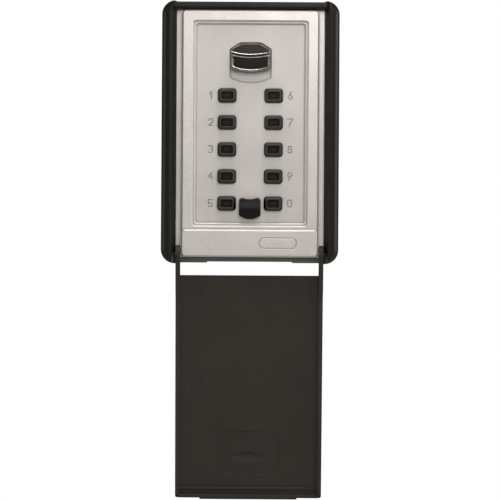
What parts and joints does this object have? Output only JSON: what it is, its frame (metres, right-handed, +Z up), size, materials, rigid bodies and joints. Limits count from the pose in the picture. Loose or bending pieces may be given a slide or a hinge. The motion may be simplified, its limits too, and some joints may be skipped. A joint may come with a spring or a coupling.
{
  "type": "key lock box",
  "caption": "Wall-mounted key lock box with push buttons, a pull-down open lever, a reset slide and a hinged black weather flap over its drop-down door.",
  "frame": {"origin": "centre of the back face that lies on the wall, at half the box's height", "axes": "+Z up, +Y into the wall (the front faces -Y), +X to the right seen from the front"},
  "size_m": [0.08, 0.048, 0.2253],
  "materials": {
    "silver_paint": "sand-textured satin silver paint",
    "black_button": "satin black",
    "black_jacket": "fine-textured black",
    "black_flap": "fine-textured black",
    "dark_chrome": "dark bright plating",
    "black_slide": "satin black",
    "mechanism_plastic": "moulded dark grey",
    "steel": "bright zinc-plated",
    "spring_steel": "drawn wire"
  },
  "bodies": {
    "case": {"surround": "black_jacket", "housing": "silver_paint", "door_hinge_pins": "steel", "flap_hinge_pins": "steel"},
    "flap": {"weather_flap": "black_flap"},
    "door": {"door_cover": "silver_paint", "mechanism_case": "mechanism_plastic", "mechanism_cover": "steel", "mechanism_screws": "steel", "lever_spring": "spring_steel", "reset_spring": "spring_steel", "button_spring_1": "spring_steel", "button_spring_2": "spring_steel", "button_spring_3": "spring_steel", "button_spring_4": "spring_steel", "button_spring_5": "spring_steel", "button_spring_6": "spring_steel", "button_spring_7": "spring_steel", "button_spring_8": "spring_steel", "button_spring_9": "spring_steel", "button_spring_0": "spring_steel"},
    "lever": {"open_lever": "dark_chrome", "latch_bolt": "steel"},
    "reset": {"reset_slide": "black_slide"},
    "key_1": {"button_1": "black_button"},
    "key_2": {"button_2": "black_button"},
    "key_3": {"button_3": "black_button"},
    "key_4": {"button_4": "black_button"},
    "key_5": {"button_5": "black_button"},
    "key_6": {"button_6": "black_button"},
    "key_7": {"button_7": "black_button"},
    "key_8": {"button_8": "black_button"},
    "key_9": {"button_9": "black_button"},
    "key_0": {"button_0": "black_button"}
  },
  "joints": [
    {"name": "flap_hinge", "type": "hinge", "parent": "case", "child": "flap", "pos_m": [0, -0.0411, -0.0553], "axis": [1, 0, 0], "range_deg": [-180, 0]},
    {"name": "door_hinge", "type": "hinge", "parent": "case", "child": "door", "pos_m": [0, -0.0405, -0.053], "axis": [1, 0, 0], "range_deg": [0, 75]},
    {"name": "lever_slide", "type": "slide", "parent": "door", "child": "lever", "axis": [0, 0, -1], "range_m": [0, 0.0038], "stiffness_N_per_m": 700, "springref_m": -0.003, "deforming": ["lever_spring"]},
    {"name": "reset_slide_travel", "type": "slide", "parent": "door", "child": "reset", "axis": [0, 0, -1], "range_m": [0, 0.0016], "stiffness_N_per_m": 300, "springref_m": -0.002, "deforming": ["reset_spring"]},
    {"name": "push_1", "type": "slide", "parent": "door", "child": "key_1", "axis": [0, 1, 0], "range_m": [0, 0.0018], "stiffness_N_per_m": 500, "springref_m": -0.002, "deforming": ["button_spring_1"]},
    {"name": "push_2", "type": "slide", "parent": "door", "child": "key_2", "axis": [0, 1, 0], "range_m": [0, 0.0018], "stiffness_N_per_m": 500, "springref_m": -0.002, "deforming": ["button_spring_2"]},
    {"name": "push_3", "type": "slide", "parent": "door", "child": "key_3", "axis": [0, 1, 0], "range_m": [0, 0.0018], "stiffness_N_per_m": 500, "springref_m": -0.002, "deforming": ["button_spring_3"]},
    {"name": "push_4", "type": "slide", "parent": "door", "child": "key_4", "axis": [0, 1, 0], "range_m": [0, 0.0018], "stiffness_N_per_m": 500, "springref_m": -0.002, "deforming": ["button_spring_4"]},
    {"name": "push_5", "type": "slide", "parent": "door", "child": "key_5", "axis": [0, 1, 0], "range_m": [0, 0.0018], "stiffness_N_per_m": 500, "springref_m": -0.002, "deforming": ["button_spring_5"]},
    {"name": "push_6", "type": "slide", "parent": "door", "child": "key_6", "axis": [0, 1, 0], "range_m": [0, 0.0018], "stiffness_N_per_m": 500, "springref_m": -0.002, "deforming": ["button_spring_6"]},
    {"name": "push_7", "type": "slide", "parent": "door", "child": "key_7", "axis": [0, 1, 0], "range_m": [0, 0.0018], "stiffness_N_per_m": 500, "springref_m": -0.002, "deforming": ["button_spring_7"]},
    {"name": "push_8", "type": "slide", "parent": "door", "child": "key_8", "axis": [0, 1, 0], "range_m": [0, 0.0018], "stiffness_N_per_m": 500, "springref_m": -0.002, "deforming": ["button_spring_8"]},
    {"name": "push_9", "type": "slide", "parent": "door", "child": "key_9", "axis": [0, 1, 0], "range_m": [0, 0.0018], "stiffness_N_per_m": 500, "springref_m": -0.002, "deforming": ["button_spring_9"]},
    {"name": "push_0", "type": "slide", "parent": "door", "child": "key_0", "axis": [0, 1, 0], "range_m": [0, 0.0018], "stiffness_N_per_m": 500, "springref_m": -0.002, "deforming": ["button_spring_0"]}
  ]
}
